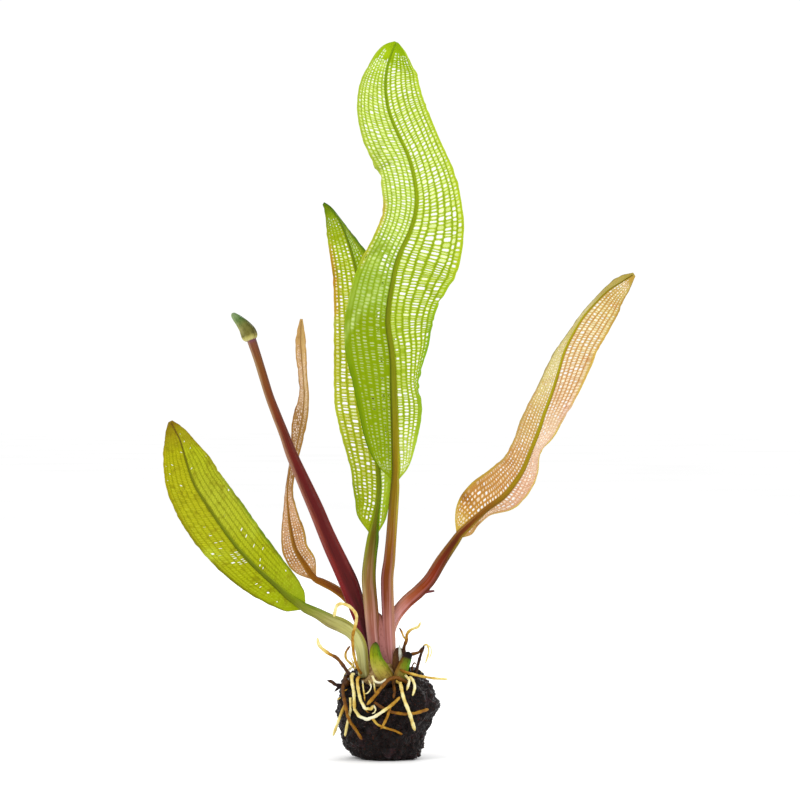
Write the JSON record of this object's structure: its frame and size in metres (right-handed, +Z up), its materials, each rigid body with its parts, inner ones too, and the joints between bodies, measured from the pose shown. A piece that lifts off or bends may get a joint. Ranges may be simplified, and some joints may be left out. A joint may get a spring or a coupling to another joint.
{
  "type": "madagascar lace plant",
  "caption": "Bare lace-leaved water plant standing on its lump of peat: long strap leaves, a flower stalk with a closed bud, young shoots, root stock and loose roots.",
  "frame": {"origin": "middle of the flat underside of the peat lump, which the plant stands on", "axes": "+Z up along the tall leaf, +X to the right as the picture shows the plant, +Y away from the viewer"},
  "size_m": [0.1699, 0.0562, 0.2576],
  "materials": {
    "cut_shoot": "young green shoot with a black end, satin",
    "flower_bud": "ribbed green bud, satin",
    "flower_stalk": "maroon stalk, glossy",
    "green_shoot": "young green shoot, satin",
    "leaf_centre": "thin yellow-green leaf, satin",
    "leaf_left": "thin olive-green leaf, satin",
    "leaf_right": "thin peach leaf, satin",
    "leaf_tall": "thin green leaf, satin",
    "leaf_withered": "thin brown leaf, satin",
    "peat_lump": "wet black-brown peat, rough",
    "roots": "cream to brown roots, satin",
    "root_stock": "brown root stock, rough"
  },
  "bodies": {
    "root": {"cut_shoot": "cut_shoot", "flower_bud": "flower_bud", "flower_stalk": "flower_stalk", "green_shoot": "green_shoot", "leaf_centre": "leaf_centre", "leaf_left": "leaf_left", "leaf_right": "leaf_right", "leaf_tall": "leaf_tall", "leaf_withered": "leaf_withered", "peat_lump": "peat_lump", "root_01": "roots", "root_02": "roots", "root_03": "roots", "root_04": "roots", "root_05": "roots", "root_06": "roots", "root_07": "roots", "root_08": "roots", "root_09": "roots", "root_10": "roots", "root_11": "roots", "root_12": "roots", "root_13": "roots", "root_14": "roots", "root_15": "roots", "root_16": "roots", "root_17": "roots", "root_18": "roots", "root_19": "roots", "root_20": "roots", "root_21": "roots", "root_22": "roots", "root_23": "roots", "root_24": "roots", "root_25": "roots", "root_back_1": "roots", "root_back_2": "roots", "root_back_3": "roots", "root_back_4": "roots", "root_stock": "root_stock"}
  },
  "joints": []
}
